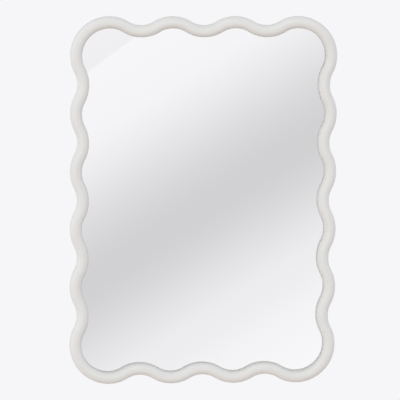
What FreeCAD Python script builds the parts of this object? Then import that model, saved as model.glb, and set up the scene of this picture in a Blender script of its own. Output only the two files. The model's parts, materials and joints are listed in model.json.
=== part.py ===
import FreeCAD
import Part
import Sketcher
import math
import os
import re
from collections import namedtuple

# Wall mirror with a scalloped, round-fronted wooden frame. Millimetres.
# +X is to the right, +Z is up and the mirror looks along -Y. Y = 0 is the wall, and the origin is
# the middle of the mirror's outline on it. "Front" below is a distance from the wall towards -Y.

Vector = FreeCAD.Vector
Rotation = FreeCAD.Rotation
Placement = FreeCAD.Placement

SIZES = {
    # Outline of the frame, over its crests
    "outer_width": 600.0,
    "outer_height": 830.0,
    "corner_radius": 75.0,  # to the middle of the moulding
    "rail_wave_depth": 20.0,  # crest to dip along the top and the bottom
    "stile_wave_depth": 16.0,  # crest to dip down the sides
    # Section of the moulding
    "frame_width": 26.0,
    "back_edge_round": 4.0,
    "rabbet_width": 8.0,
    "lip_round": 6.0,  # the moulding turns in under itself here, down to the glass
    "lip_straight": 4.0,  # upright inner wall between that and the round front
    # What lies in the rabbet, from the front
    "glass_thickness": 4.0,
    "film_thickness": 0.2,
    "foam_thickness": 1.5,
    "board_thickness": 4.0,
    "board_recess": 0.3,  # board below the frame's back
    "glass_clearance": 1.0,  # glass edge to rabbet wall
    "board_clearance": 1.5,
    "film_margin": 0.5,  # film edge inside the glass edge
    "foam_width": 25.0,
    "foam_margin": 20.0,
    "spacer_length": 30.0,
    "spacer_play": 0.05,
    # Mitre dowels
    "dowel_radius": 3.0,
    "dowel_length": 30.0,
    "dowel_spread": 12.0,
    "dowel_cover": 2.0,  # wood between the rabbet and a dowel
    "dowel_play": 0.05,
    "dowel_end_gap": 1.0,
    # Turn buttons and their screws
    "button_thickness": 1.5,
    "button_width": 10.0,
    "button_overlap": 8.0,  # past the rabbet wall
    "button_play": 0.1,  # under and over a button, so that it turns
    "button_screw_radius": 1.75,
    "button_head_radius": 3.5,
    "button_head_height": 2.2,
    "button_screw_depth": 14.0,  # in the wood
    # Hangers: a folded strap, a wire ring in its eye, two screws
    "strap_width": 10.0,
    "strap_length": 28.0,
    "strap_sheet": 0.8,
    "strap_corner_round": 4.0,
    "hanger_outset": 1.0,  # strap from the middle of the moulding, outwards
    "hanger_lift": 8.0,  # eye above the crest
    "ring_wire_radius": 1.1,
    "ring_inner_width": 14.0,
    "ring_bend": 2.5,
    "ring_leg": 3.0,
    "ring_rest_gap": 0.3,
    "hanger_first_screw": 8.5,  # below the eye
    "hanger_screw_pitch": 12.5,
    "hanger_screw_radius": 1.6,
    "hanger_head_radius": 3.0,
    "hanger_head_height": 1.8,
    "hanger_screw_depth": 14.0,
    # Fits and details that all the screws share
    "pivot_play": 0.05,
    "screw_play": 0.05,
    "screw_tip": 3.0,
    "recess_width": 0.9,
    "recess_depth": 0.9,
    # Rubber pads between frame and wall
    "wall_gap": 4.5,
    "pad_radius": 6.0,
    "pad_edge_round": 0.8,
}

RAIL_DIPS = 3
STILE_DIPS = 5
FOAM_STRIPS = 4
BUTTON_STEP = 2  # a button sits two half waves from the middle of its side
HANGER_STEP = 3  # a hanger sits on the crest three half waves above the middle of its stile
SPACER_STEP = 1

FRAME_BACK = "wall_gap"
BOARD_BACK = f"{FRAME_BACK} + board_recess"
FOAM_BACK = f"{BOARD_BACK} + board_thickness"
FILM_BACK = f"{FOAM_BACK} + foam_thickness"
GLASS_BACK = f"{FILM_BACK} + film_thickness"
RABBET_DEPTH = "board_recess + board_thickness + foam_thickness + film_thickness + glass_thickness"
CROWN_FRONT = f"{RABBET_DEPTH} + lip_round + lip_straight"
RABBET_INSET = "frame_width / 2 - rabbet_width"
GLASS_INSET = f"{RABBET_INSET} + glass_clearance"
BOARD_INSET = f"{RABBET_INSET} + board_clearance"
FILM_INSET = f"{GLASS_INSET} + film_margin"
BACK_MIDDLE = "(rabbet_width - back_edge_round) / 2"
BUTTON_REACH = f"{BACK_MIDDLE} + {RABBET_INSET} + button_overlap"
STRAP_HEIGHT = "strap_sheet * 2"
EYE_RADIUS = "ring_wire_radius + pivot_play"
EYE_HEIGHT = f"{EYE_RADIUS} + strap_sheet"
RING_HALF_WIDTH = "ring_inner_width / 2 + ring_wire_radius"
RING_REACH = f"ring_bend + ring_leg + {RING_HALF_WIDTH}"
RING_LEAN = f"asin((strap_sheet + pivot_play - ring_rest_gap) / ({RING_REACH}))"

# A side runs from its left end to its right end as seen with its outer edge up. "turn" is how
# far the side is turned about +Y from the top one.
Side = namedtuple("Side", "crest reach wave_depth dips turn")
RAIL_CREST = "outer_height / 2 - frame_width / 2"
STILE_CREST = "outer_width / 2 - frame_width / 2"
RAIL_REACH = f"{STILE_CREST} - corner_radius"
STILE_REACH = f"{RAIL_CREST} - corner_radius"
TOP = Side(RAIL_CREST, RAIL_REACH, "rail_wave_depth", RAIL_DIPS, 0)
RIGHT = Side(STILE_CREST, STILE_REACH, "stile_wave_depth", STILE_DIPS, 90)
BOTTOM = TOP._replace(turn=180)
LEFT = RIGHT._replace(turn=270)
SIDES = (TOP, RIGHT, BOTTOM, LEFT)

doc = FreeCAD.newDocument("wall_mirror")


# Sheet of sizes, and formulas that read it

sheet = doc.addObject("Spreadsheet::Sheet", "Sizes")
for row, (name, number) in enumerate(SIZES.items(), start=1):
    sheet.set(f"A{row}", name)
    sheet.set(f"B{row}", str(number))
    sheet.setAlias(f"B{row}", name)
doc.recompute()


def formula(text):
    """The text with every size's name pointing at its cell."""
    return re.sub(r"[a-z_]+", lambda word: f"Sizes.{word[0]}" if word[0] in SIZES else word[0], text)


def value(text):
    result = sheet.evalExpression(formula(text))
    return float(getattr(result, "Value", result))


def bind(part, prop, text):
    part.setExpression(prop, formula(text))


# Sketches and features

def line(start, stop):
    return Part.LineSegment(Vector(*start, 0), Vector(*stop, 0)), (1, 2), None


def arc(centre, radius, start, stop):
    """An arc drawn from one angle to another, in degrees, whose radius is a formula."""
    low, high = sorted((start, stop))
    circle = Part.Circle(Vector(*centre, 0), Vector(0, 0, 1), value(radius))
    curve = Part.ArcOfCircle(circle, math.radians(low), math.radians(high))
    return curve, (1, 2) if stop > start else (2, 1), radius


def hold_radius(sketch, index, radius):
    constraint = sketch.addConstraint(Sketcher.Constraint("Radius", index, value(radius)))
    bind(sketch, f"Constraints[{constraint}]", radius)


def draw(sketch, pieces, joint="Coincident", closed=True):
    """Add lines and arcs that follow one another, joined end to end."""
    drawn = []
    for curve, ends, radius in pieces:
        index = sketch.addGeometry(curve, False)
        drawn.append((index, ends))
        if radius is not None:
            hold_radius(sketch, index, radius)
    followers = drawn[1:] + drawn[:1] if closed else drawn[1:]
    for (index, ends), (follower, follower_ends) in zip(drawn, followers):
        sketch.addConstraint(Sketcher.Constraint(joint, index, ends[1], follower, follower_ends[0]))


def draw_circle(sketch, centre, radius):
    circle = Part.Circle(Vector(*centre, 0), Vector(0, 0, 1), value(radius))
    hold_radius(sketch, sketch.addGeometry(circle, False), radius)


def new_body(label):
    body = doc.addObject("PartDesign::Body", label)
    body.Label = label
    return body


def origin_plane(body, role):
    return next(item for item in body.Origin.OriginFeatures if item.Role == role)


def new_sketch(body, name, role, lift=None):
    sketch = body.newObject("Sketcher::SketchObject", name)
    sketch.AttachmentSupport = (origin_plane(body, role), [""])
    sketch.MapMode = "FlatFace"
    if lift is not None:
        bind(sketch, "AttachmentOffset.Base.z", lift)
    return sketch


def pad(body, sketch, length, backwards=False):
    """Thicken a sketch along its normal, or against it."""
    feature = body.newObject("PartDesign::Pad", "pad")
    feature.Profile = sketch
    feature.Reversed = backwards
    bind(feature, "Length", length)
    return feature


def pocket(body, sketch, length, forwards=False):
    """Cut a sketch out against its normal, or along it, and make sure that it cut something."""
    doc.recompute()
    before = body.Shape.Volume
    feature = body.newObject("PartDesign::Pocket", "pocket")
    feature.Profile = sketch
    feature.Reversed = forwards
    bind(feature, "Length", length)
    doc.recompute()
    if not body.Shape.Volume < before:
        raise RuntimeError(f"{body.Label}: {sketch.Label} cuts nothing")
    return feature


def sweep(body, section, path):
    feature = body.newObject("PartDesign::AdditivePipe", "sweep")
    feature.Profile = section
    feature.Spine = (path, [])
    return feature


def group(label, parts):
    compound = doc.addObject("Part::Compound", label)
    compound.Label = label
    compound.Links = parts
    return compound


def seat(part, side, along, out, front, tilt=0):
    """Bind a part's place on a side: along it, out from the middle and in front of the wall."""
    across, up = {
        0: (along, out),
        90: (out, f"-({along})"),
        180: (f"-({along})", f"-({out})"),
        270: (f"-({out})", along),
    }[side.turn]
    part.Placement = Placement(Vector(), Rotation(Vector(0, 1, 0), side.turn + tilt))
    bind(part, "Placement.Base.x", across)
    bind(part, "Placement.Base.y", f"-({front})")
    bind(part, "Placement.Base.z", up)


# The wave: equal arcs that meet at the same slope, crest and dip in turn

def wave_radius(side):
    quarter = f"({side.reach}) / {2 * side.dips}"
    half_depth = f"{side.wave_depth} / 2"
    return f"((({quarter})^2 + ({half_depth})^2) / (2 * ({half_depth})))"


def is_crest(side, step):
    return (side.dips - step) % 2 == 0


def extreme(side, step):
    """Where the crest or dip lies that is so many half waves from the middle of the side."""
    along = f"({side.reach}) * {step} / {side.dips}"
    out = side.crest if is_crest(side, step) else f"{side.crest} - {side.wave_depth}"
    return along, out


def turned_arc(side, along, out, radius, start, stop):
    turn = math.radians(side.turn)
    across = along * math.cos(turn) + out * math.sin(turn)
    up = out * math.cos(turn) - along * math.sin(turn)
    return arc((across, up), radius, start - side.turn, stop - side.turn)


def wave(side, first, last, inset="0", corner_stop=0):
    """Arcs from one extreme of a side to its last crest and on round the corner."""
    radius = wave_radius(side)
    spread = math.degrees(math.asin(value(f"({side.reach}) / {2 * side.dips}") / value(radius)))
    arcs = []
    for step in range(first, last + 1):
        along, out = extreme(side, step)
        before = 0 if step == first else spread
        after = 0 if step == last else spread
        if is_crest(side, step):
            centre = value(f"{out} - {radius}")
            arcs.append((value(along), centre, f"{radius} - ({inset})", 90 + before, 90 - after))
        else:
            centre = value(f"{out} + {radius}")
            arcs.append((value(along), centre, f"{radius} + ({inset})", 270 - before, 270 + after))
    corner = value(f"{side.crest} - corner_radius")
    arcs.append((value(side.reach), corner, f"corner_radius - ({inset})", 90, corner_stop))
    return [turned_arc(side, *item) for item in arcs]


def outline(inset):
    """The whole wavy loop, a distance inside the middle of the moulding."""
    return [piece for side in SIDES for piece in wave(side, -side.dips, side.dips, inset)]


# Frame: four members of one moulding, mitred half way round the corners

def moulding():
    """Section of the frame, out from its middle and forwards from its back."""
    half = value("frame_width / 2")
    edge = value("back_edge_round")
    lip = value("lip_round")
    shoulder = value(RABBET_DEPTH)
    crown = value(CROWN_FRONT)
    wall = -value(RABBET_INSET)
    return [
        arc((half - edge, edge), "back_edge_round", -90, 0),
        line((half, edge), (half, crown)),
        arc((0, crown), "frame_width / 2", 0, 180),
        line((-half, crown), (-half, shoulder + lip)),
        arc((lip - half, shoulder + lip), "lip_round", 180, 270),
        line((lip - half, shoulder), (wall, shoulder)),
        line((wall, shoulder), (wall, 0)),
        line((wall, 0), (half - edge, 0)),
    ]


def seat_dowel(part, side, offset, length):
    """Lay a cylinder square across the mitre at the right end of a side, half in each member."""
    diagonal = "sqrt(0.5)"
    out_from_corner = f"(corner_radius + {offset}) * {diagonal}"
    back_to_start = f"({length}) / 2 * {diagonal}"
    along = f"{side.reach} + {out_from_corner} + {back_to_start}"
    out = f"{side.crest} - corner_radius + {out_from_corner} - {back_to_start}"
    depth = f"{FRAME_BACK} + {RABBET_DEPTH} + dowel_cover + dowel_radius"
    seat(part, side, along, out, depth, tilt=-45)


DOWEL_OFFSETS = ("dowel_spread / 2", "-dowel_spread / 2")


def drill_for_dowels(body, side):
    length = "dowel_length + dowel_end_gap * 2"
    for offset in DOWEL_OFFSETS:
        hole = body.newObject("PartDesign::SubtractiveCylinder", "dowel_hole")
        bind(hole, "Radius", "dowel_radius + dowel_play")
        bind(hole, "Height", length)
        seat_dowel(hole, side, offset, length)


def drill_back(body, places, radius, depth):
    holes = new_sketch(body, "screw_holes", "XZ_Plane", lift=FRAME_BACK)
    for along, out in places:
        draw_circle(holes, (value(along), value(out)), radius)
    return pocket(body, holes, depth, forwards=True)


def frame_member(label, side):
    """Half the member is swept from its middle, drilled, and mirrored."""
    body = new_body(label)
    flat_side = side._replace(turn=0)
    path = new_sketch(body, "centreline", "XZ_Plane", lift=FRAME_BACK)
    draw(path, wave(flat_side, 0, side.dips, corner_stop=45), joint="Tangent", closed=False)
    section = new_sketch(body, "section", "YZ_Plane")
    section.AttachmentOffset = Placement(Vector(), Rotation(Vector(0, 0, 1), 90))
    bind(section, "AttachmentOffset.Base.x", f"-({FRAME_BACK})")
    bind(section, "AttachmentOffset.Base.y", extreme(side, 0)[1])
    draw(section, moulding())
    sweep(body, section, path)
    drill_for_dowels(body, flat_side)
    along, out = extreme(side, BUTTON_STEP)
    button_hole = [(along, f"{out} + {BACK_MIDDLE}")]
    half = drill_back(body, button_hole, "button_screw_radius + screw_play",
                      "button_screw_depth + screw_play")
    mirrored = body.newObject("PartDesign::Mirrored", "both_halves")
    mirrored.Originals = [half]
    mirrored.TransformMode = "Whole shape"
    mirrored.MirrorPlane = (origin_plane(body, "YZ_Plane"), [""])
    body.Tip = mirrored
    body.Placement = Placement(Vector(), Rotation(Vector(0, 1, 0), side.turn))
    return body


HANGER_UP = f"({STILE_REACH}) * {HANGER_STEP} / {STILE_DIPS} + hanger_lift"
HANGER_OUT = f"{STILE_CREST} + hanger_outset"
HANGER_SCREW_DROPS = ("hanger_first_screw", "hanger_first_screw + hanger_screw_pitch")


def stile(label, side, upwards):
    """A frame member that also takes a hanger's screws near its top."""
    body = frame_member(label, side)
    places = [(f"{upwards} * ({HANGER_UP} - ({drop}))", HANGER_OUT) for drop in HANGER_SCREW_DROPS]
    body.Tip = drill_back(body, places, "hanger_screw_radius + screw_play",
                          "hanger_screw_depth + screw_play")
    return body


def dowel(side, offset):
    peg = doc.addObject("Part::Cylinder", "dowel")
    bind(peg, "Radius", "dowel_radius")
    bind(peg, "Height", "dowel_length")
    seat_dowel(peg, side, offset, "dowel_length")
    return peg


# What lies in the rabbet

def wavy_sheet(label, inset, back, thickness):
    body = new_body(label)
    sketch = new_sketch(body, "outline", "XZ_Plane", lift=back)
    draw(sketch, outline(inset), joint="Tangent")
    pad(body, sketch, thickness)
    return body


def glass_spacer(side, step):
    """A rubber block that fills the gap between glass edge and rabbet at the middle of a crest."""
    body = new_body("glass_spacer")
    outer = f"{wave_radius(side)} - ({RABBET_INSET}) - spacer_play"
    inner = f"{wave_radius(side)} - ({GLASS_INSET}) + spacer_play"
    spread = math.degrees(value("spacer_length / 2") / value(outer))
    corners = []
    for radius in (outer, inner):
        for angle in (90 + spread, 90 - spread):
            turn = math.radians(angle)
            corners.append((value(radius) * math.cos(turn), value(radius) * math.sin(turn)))
    outer_left, outer_right, inner_left, inner_right = corners
    sketch = new_sketch(body, "outline", "XZ_Plane")
    draw(sketch, [
        arc((0, 0), outer, 90 + spread, 90 - spread),
        line(outer_right, inner_right),
        arc((0, 0), inner, 90 - spread, 90 + spread),
        line(inner_left, outer_left),
    ])
    pad(body, sketch, "glass_thickness")
    along, out = extreme(side, step)
    seat(body, side, along, f"{out} - {wave_radius(side)}", GLASS_BACK)
    return body


def foam_strip(index):
    strip = doc.addObject("Part::Box", "foam_strip")
    half_length = f"{STILE_CREST} - stile_wave_depth - ({FILM_INSET}) - foam_margin"
    top = f"{RAIL_CREST} - rail_wave_depth - ({FILM_INSET}) - foam_margin - foam_width / 2"
    share = f"{2 * index - FOAM_STRIPS + 1} / {FOAM_STRIPS - 1}"
    bind(strip, "Length", f"2 * ({half_length})")
    bind(strip, "Width", "foam_thickness")
    bind(strip, "Height", "foam_width")
    bind(strip, "Placement.Base.x", f"-({half_length})")
    bind(strip, "Placement.Base.y", f"-({FILM_BACK})")
    bind(strip, "Placement.Base.z", f"({top}) * {share} - foam_width / 2")
    return strip


# Screws: pan heads with a cross recess, pointing forwards into the wood

def cross(length, width):
    """Outline of a plus sign."""
    arm, half = length / 2, width / 2
    quarter = [(half, arm), (half, half), (arm, half)]
    points = []
    for turn in range(4):
        for across, up in quarter:
            for _ in range(turn):
                across, up = up, -across
            points.append((across, up))
    return [line(start, stop) for start, stop in zip(points, points[1:] + points[:1])]


def screw(label, kind, grip):
    """A screw whose head's underside is at Y = 0, with a length under it of grip and wood."""
    body = new_body(label)
    shank = value(f"{kind}_screw_radius")
    head = value(f"{kind}_head_radius")
    height = value(f"{kind}_head_height")
    length = value(f"{grip} + {kind}_screw_depth")
    tip = value("screw_tip")
    shoulder = height / 2
    section = new_sketch(body, "section", "XY_Plane")
    draw(section, [
        line((0, -length), (shank, tip - length)),
        line((shank, tip - length), (shank, 0)),
        line((shank, 0), (head, 0)),
        line((head, 0), (head, height - shoulder)),
        arc((head - shoulder, height - shoulder), f"{kind}_head_height / 2", 0, 90),
        line((head - shoulder, height), (0, height)),
        line((0, height), (0, -length)),
    ])
    turned = body.newObject("PartDesign::Revolution", "turned")
    turned.Profile = section
    turned.ReferenceAxis = (section, ["V_Axis"])
    turned.Angle = 360
    recess = new_sketch(body, "recess", "XZ_Plane", lift=f"-{kind}_head_height")
    draw(recess, cross(head, value("recess_width")))
    pocket(body, recess, "recess_depth", forwards=True)
    return body


# Turn buttons: flat steel bars that swing over the edge of the backing board

def turn_button(label, side, step):
    body = new_body(label)
    half = value("button_width / 2")
    tip = value(f"button_width / 2 - ({BUTTON_REACH})")
    bar = new_sketch(body, "outline", "XZ_Plane")
    draw(bar, [
        arc((0, 0), "button_width / 2", 0, 180),
        line((-half, 0), (-half, tip)),
        arc((0, tip), "button_width / 2", 180, 360),
        line((half, tip), (half, 0)),
    ])
    draw_circle(bar, (0, 0), "button_screw_radius + pivot_play")
    pad(body, bar, "button_thickness", backwards=True)
    along, out = extreme(side, step)
    seat(body, side, along, f"{out} + {BACK_MIDDLE}", f"{FRAME_BACK} - button_play")
    return body


def turn_button_screw(side, step):
    grip = "button_thickness + button_play * 2"
    body = screw("turn_button_screw", "button", grip)
    along, out = extreme(side, step)
    seat(body, side, along, f"{out} + {BACK_MIDDLE}", f"{FRAME_BACK} - ({grip})")
    return body


# Hangers

def seat_hanger(part, hand, height, drop="0"):
    """Bind a hanger piece's place behind the left (-1) or right (1) stile, over the wood."""
    bind(part, "Placement.Base.x", f"{hand} * ({HANGER_OUT})")
    bind(part, "Placement.Base.y", f"{height} - ({FRAME_BACK})")
    bind(part, "Placement.Base.z", f"{HANGER_UP} - ({drop})")


def hanger_strap(label, hand):
    """Sheet steel folded back on itself round an eye, seen here from its side."""
    body = new_body(label)
    eye = value(EYE_HEIGHT)
    height = value(STRAP_HEIGHT)
    end = -value("strap_length")
    leave_angle = -45
    leave = (eye + eye * math.cos(math.radians(leave_angle)), eye * math.sin(math.radians(leave_angle)))
    land = (height, leave[1] - (leave[0] - height))
    fold = new_sketch(body, "fold", "YZ_Plane", lift="-strap_width / 2")
    draw(fold, [
        line((0, end), (0, 0)),
        arc((eye, 0), EYE_HEIGHT, 180, leave_angle),
        line(leave, land),
        line(land, (height, end)),
        line((height, end), (0, end)),
    ])
    draw_circle(fold, (eye, 0), EYE_RADIUS)
    pad(body, fold, "strap_width")
    holes = new_sketch(body, "screw_holes", "XZ_Plane")
    for drop in HANGER_SCREW_DROPS:
        draw_circle(holes, (0, -value(drop)), "hanger_screw_radius + screw_play")
    drilled = pocket(body, holes, STRAP_HEIGHT)
    corners = [
        f"Edge{number}" for number, edge in enumerate(drilled.Shape.Edges, start=1)
        if edge.BoundBox.ZMax < end + 1e-6 and edge.BoundBox.XLength < 1e-6
    ]
    rounded = body.newObject("PartDesign::Fillet", "rounded_end")
    rounded.Base = (drilled, corners)
    bind(rounded, "Radius", "strap_corner_round")
    seat_hanger(body, hand, "0")
    return body


def hanger_ring(label, hand):
    """A D of round wire whose straight bar lies in the strap's eye; it leans on the frame."""
    body = new_body(label)
    wide = value(RING_HALF_WIDTH)
    bend = value("ring_bend")
    shoulder = value("ring_bend + ring_leg")
    flat = wide - bend
    path = new_sketch(body, "wire", "XZ_Plane")
    draw(path, [
        line((0, 0), (flat, 0)),
        arc((flat, bend), "ring_bend", -90, 0),
        line((wide, bend), (wide, shoulder)),
        arc((0, shoulder), RING_HALF_WIDTH, 0, 180),
        line((-wide, shoulder), (-wide, bend)),
        arc((-flat, bend), "ring_bend", 180, 270),
        line((-flat, 0), (0, 0)),
    ])
    section = new_sketch(body, "section", "YZ_Plane")
    draw_circle(section, (0, 0), "ring_wire_radius")
    sweep(body, section, path)
    body.Placement = Placement(Vector(), Rotation(Vector(1, 0, 0), value(RING_LEAN)))
    bind(body, "Placement.Rotation.Angle", RING_LEAN)
    seat_hanger(body, hand, EYE_HEIGHT)
    return body


def hanger_screw(hand, drop):
    body = screw("hanger_screw", "hanger", STRAP_HEIGHT)
    seat_hanger(body, hand, STRAP_HEIGHT, drop)
    return body


# Pads

def wall_pad(side, step):
    body = new_body("wall_pad")
    disc = new_sketch(body, "disc", "XZ_Plane")
    draw_circle(disc, (0, 0), "pad_radius")
    puck = pad(body, disc, "wall_gap", backwards=True)
    doc.recompute()
    rim = [
        f"Edge{number}" for number, edge in enumerate(puck.Shape.Edges, start=1)
        if edge.BoundBox.YMin > value("wall_gap") / 2
    ]
    rounded = body.newObject("PartDesign::Fillet", "rounded_rim")
    rounded.Base = (puck, rim)
    bind(rounded, "Radius", "pad_edge_round")
    along, out = extreme(side, step)
    seat(body, side, along, f"{out} + {BACK_MIDDLE}", FRAME_BACK)
    return body


# The assembly

parts = [
    frame_member("top_rail", TOP),
    frame_member("bottom_rail", BOTTOM),
    stile("left_stile", LEFT, upwards=1),
    stile("right_stile", RIGHT, upwards=-1),
    group("corner_dowels", [dowel(side, offset) for side in SIDES for offset in DOWEL_OFFSETS]),
    wavy_sheet("mirror_glass", GLASS_INSET, GLASS_BACK, "glass_thickness"),
    wavy_sheet("safety_film", FILM_INSET, FILM_BACK, "film_thickness"),
    wavy_sheet("backing_board", BOARD_INSET, BOARD_BACK, "board_thickness"),
    group("foam_strips", [foam_strip(index) for index in range(FOAM_STRIPS)]),
    group("glass_spacers", [
        glass_spacer(side, step) for side in SIDES for step in (-SPACER_STEP, SPACER_STEP)
    ]),
]

button_places = {
    "top_left": (TOP, -BUTTON_STEP),
    "top_right": (TOP, BUTTON_STEP),
    "right_upper": (RIGHT, -BUTTON_STEP),
    "right_lower": (RIGHT, BUTTON_STEP),
    "bottom_right": (BOTTOM, -BUTTON_STEP),
    "bottom_left": (BOTTOM, BUTTON_STEP),
    "left_lower": (LEFT, -BUTTON_STEP),
    "left_upper": (LEFT, BUTTON_STEP),
}
for name, (side, step) in button_places.items():
    parts.append(turn_button(f"turn_button_{name}", side, step))
parts.append(group("turn_button_screws", [
    turn_button_screw(side, step) for side, step in button_places.values()
]))

hands = {"left": -1, "right": 1}
for name, hand in hands.items():
    parts.append(hanger_strap(f"{name}_hanger_strap", hand))
    parts.append(hanger_ring(f"{name}_hanger_ring", hand))
parts.append(group("hanger_screws", [
    hanger_screw(hand, drop) for hand in hands.values() for drop in HANGER_SCREW_DROPS
]))
parts.append(group("wall_pads", [
    wall_pad(side, step) for side in (TOP, BOTTOM) for step in (-RAIL_DIPS, RAIL_DIPS)
]))
doc.recompute()


# Checks, then one file for each sub-part

failed = [item.Label for item in doc.Objects if {"Invalid", "Error"} & set(item.State)]
failed += [part.Label for part in parts if part.Shape.isNull() or not part.Shape.isValid()]
if failed:
    raise RuntimeError("not built: " + ", ".join(failed))

os.makedirs("parts", exist_ok=True)
for part in parts:
    part.Shape.exportStep(f"parts/{part.Label}.step")
    print(f"{part.Label}: {len(part.Shape.Solids)} solids, {part.Shape.Volume:.0f} mm3")
print(f"ring lean {value(RING_LEAN):.3f} degrees, hanger eyes at height {value(HANGER_UP):.3f}")
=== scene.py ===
# %% [markdown]
# # A wavy wall mirror
# The imported solids are a fixed skeleton: every piece made here sits on them, in metres, with the
# wall at Y = 0, the mirror looking along -Y and Z up. The skeleton is loaded first.

# %% Load the skeleton
import json
from math import asin, cos, radians, sin, sqrt, tau
import bpy
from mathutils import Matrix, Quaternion, Vector


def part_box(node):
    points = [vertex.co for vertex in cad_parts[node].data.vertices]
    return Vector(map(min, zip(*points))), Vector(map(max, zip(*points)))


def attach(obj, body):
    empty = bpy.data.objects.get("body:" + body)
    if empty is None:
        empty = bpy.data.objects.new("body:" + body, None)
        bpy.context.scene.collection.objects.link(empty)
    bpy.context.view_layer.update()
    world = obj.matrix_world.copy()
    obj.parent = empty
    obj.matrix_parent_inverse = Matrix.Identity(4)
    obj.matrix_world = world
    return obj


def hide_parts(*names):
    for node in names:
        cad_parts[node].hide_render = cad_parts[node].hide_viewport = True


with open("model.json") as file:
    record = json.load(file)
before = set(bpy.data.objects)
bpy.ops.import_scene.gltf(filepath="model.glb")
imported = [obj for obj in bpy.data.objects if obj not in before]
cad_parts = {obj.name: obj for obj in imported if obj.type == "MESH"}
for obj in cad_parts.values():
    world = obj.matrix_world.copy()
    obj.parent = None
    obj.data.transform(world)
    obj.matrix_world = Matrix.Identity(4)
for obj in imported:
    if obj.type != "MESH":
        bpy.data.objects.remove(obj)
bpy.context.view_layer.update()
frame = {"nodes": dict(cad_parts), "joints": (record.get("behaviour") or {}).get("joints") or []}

scene = bpy.context.scene

# %% [markdown]
# ## Camera
# The photograph looks at the mirror from a little above and from its left: the inner wall shows
# more along the bottom and the right. Nothing converges, so the camera stands far off with a long
# lens, rolled by a third of a degree. A nearer camera with a shifted lens would meet a few edges
# better, but the shift would push the mirror out of views from other sides.

# %% Camera
MM = 0.001  # a millimetre in metres
PHOTO_PIXELS = 400
PIXEL = 2.249 * MM
MIRROR_IN_PHOTO = (3.4, 0.75)
CAMERA_DISTANCE = 10.0
CAMERA_AZIMUTH = radians(-5.2)
CAMERA_ELEVATION = radians(7.0)
CAMERA_ROLL = radians(0.35)
FARTHEST_SEEN = 100
ROUND_FRONT_Y = -24.5 * MM


def put(name, data):
    """Put data into the scene as an object at the origin."""
    thing = bpy.data.objects.new(name, data)
    scene.collection.objects.link(thing)
    return thing


aim = Vector((-MIRROR_IN_PHOTO[0] * PIXEL, ROUND_FRONT_Y, MIRROR_IN_PHOTO[1] * PIXEL))
towards_camera = Vector((
    sin(CAMERA_AZIMUTH) * cos(CAMERA_ELEVATION),
    -cos(CAMERA_AZIMUTH) * cos(CAMERA_ELEVATION),
    sin(CAMERA_ELEVATION),
))
camera = put("camera", bpy.data.cameras.new("camera"))
scene.camera = camera
camera.location = aim + towards_camera * CAMERA_DISTANCE
roll = Quaternion((0, 0, 1), CAMERA_ROLL)
camera.rotation_euler = ((-towards_camera).to_track_quat("-Z", "Y") @ roll).to_euler()
camera.data.lens = camera.data.sensor_width * CAMERA_DISTANCE / (PHOTO_PIXELS * PIXEL)
camera.data.clip_end = FARTHEST_SEEN
scene.view_settings.view_transform = "Standard"
print("lens:", round(camera.data.lens), "mm")

# %% [markdown]
# ## Laying out nodes
# Materials and shapes are both node trees. Written out link by link they are hard to read, so one
# helper puts a node down, fills its inputs with numbers or other nodes' outputs, and hands back
# its output. A line of code then reads like a formula.

# %% Node helpers
def fill(tree, socket, value):
    """Give an input a number, or link another node's output to it."""
    if isinstance(value, bpy.types.NodeSocket):
        tree.links.new(value, socket)
    else:
        socket.default_value = value


def add(tree, kind, values=None, pick=0, **settings):
    """Put a node down, set it up, fill its inputs and return one of its outputs."""
    node = tree.nodes.new(kind)
    for name, setting in settings.items():
        setattr(node, name, setting)
    for key, value in (values or {}).items():
        fill(tree, node.inputs[key], value)
    return node.outputs[pick]


def calc(tree, operation, *values):
    return add(tree, "ShaderNodeMath", dict(enumerate(values)), operation=operation)


def minus(tree, first, second):
    return calc(tree, "SUBTRACT", first, second)


def times(tree, first, second):
    return calc(tree, "MULTIPLY", first, second)


def total(tree, *values):
    result = values[0]
    for value in values[1:]:
        result = calc(tree, "ADD", result, value)
    return result


def rescale(tree, value, low, high, new_low=0.0, new_high=1.0, smooth=False):
    """Move a range of values onto another one and clamp it there."""
    values = {0: value, 1: low, 2: high, 3: new_low, 4: new_high}
    kind = "SMOOTHSTEP" if smooth else "LINEAR"
    return add(tree, "ShaderNodeMapRange", values, interpolation_type=kind)


print("node helpers ready")

# %% Vectors and colours
def split(tree, vector):
    """The three parts of a vector."""
    return add(tree, "ShaderNodeSeparateXYZ", {0: vector}).node.outputs[:]


def join(tree, *parts):
    return add(tree, "ShaderNodeCombineXYZ", dict(enumerate(parts)))


def vector_calc(tree, operation, *values, pick=0):
    return add(tree, "ShaderNodeVectorMath", dict(enumerate(values)), pick, operation=operation)


def place(tree):
    """Where a point is, in the object's own coordinates."""
    return add(tree, "ShaderNodeTexCoord", pick="Object")


def srgb(*levels):
    """A colour as a picture shows it, 0 to 255, as the linear one that nodes take."""
    shares = [level / 255 for level in levels]
    linear = [x / 12.92 if x <= 0.04045 else ((x + 0.055) / 1.055) ** 2.4 for x in shares]
    return (*linear, 1.0)


def mix_colour(tree, share, first, second):
    values = {0: share, 6: first, 7: second}
    return add(tree, "ShaderNodeMix", values, pick=2, data_type="RGBA")


print("vector helpers ready")

# %% [markdown]
# ## Studio
# The mirror hangs in a pale, nearly shadowless studio, and the lens sees a plain near-white world.
# The soft light on matt surfaces was worked out from the paint's tones in the photograph: nearly
# even, a little stronger from the front and the left, weaker from straight above and below, weaker
# and warmer from the front below, and plain from behind. It would take many lamps, and a world
# gives it by a sum of directions.

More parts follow.
